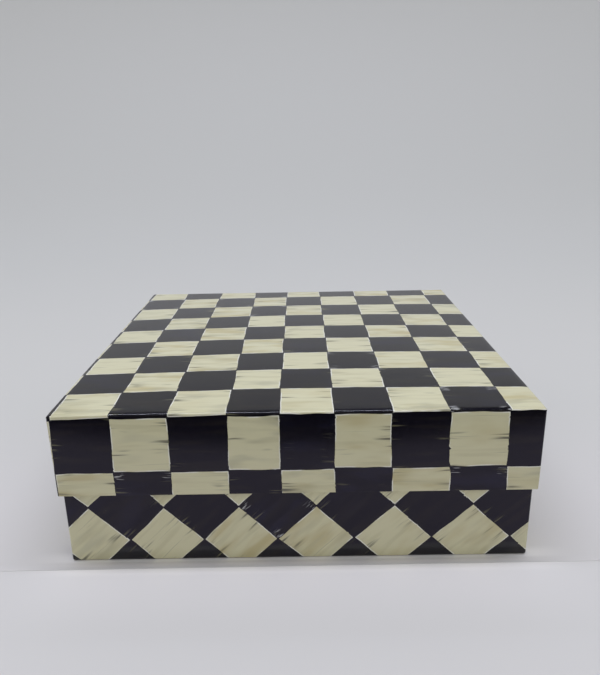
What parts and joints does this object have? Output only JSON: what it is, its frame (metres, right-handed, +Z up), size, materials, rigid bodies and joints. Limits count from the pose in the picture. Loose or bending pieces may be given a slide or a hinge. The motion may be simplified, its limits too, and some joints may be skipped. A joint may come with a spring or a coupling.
{
  "type": "board game box",
  "caption": "Square rigid paperboard box with a deep lift-off lid, covered in checked paper and lined inside, for keeping a game in.",
  "frame": {"origin": "on the table, under the middle of the closed box", "axes": "+Z up, the way the lid lifts; -Y the front face in the picture; +X to its right"},
  "size_m": [0.28, 0.28, 0.097],
  "materials": {
    "checked_wrap": "satin",
    "greyboard": "matte",
    "kraft_stay": "matte",
    "lining_paper": "matte",
    "foot_paper": "matte"
  },
  "bodies": {
    "tray": {"tray_floor_board": "greyboard", "tray_front_board": "greyboard", "tray_back_board": "greyboard", "tray_left_board": "greyboard", "tray_right_board": "greyboard", "tray_corner_stay_front_left": "kraft_stay", "tray_corner_stay_front_right": "kraft_stay", "tray_corner_stay_back_left": "kraft_stay", "tray_corner_stay_back_right": "kraft_stay", "tray_wrap": "checked_wrap", "tray_lining": "lining_paper", "tray_foot_sheet": "foot_paper"},
    "lid": {"lid_top_board": "greyboard", "lid_front_board": "greyboard", "lid_back_board": "greyboard", "lid_left_board": "greyboard", "lid_right_board": "greyboard", "lid_corner_stay_front_left": "kraft_stay", "lid_corner_stay_front_right": "kraft_stay", "lid_corner_stay_back_left": "kraft_stay", "lid_corner_stay_back_right": "kraft_stay", "lid_wrap": "checked_wrap", "lid_lining": "lining_paper"}
  },
  "joints": [
    {"name": "lid_lift", "type": "slide", "parent": "tray", "child": "lid", "axis": [0, 0, 1], "range_m": [0, 0.15]}
  ]
}
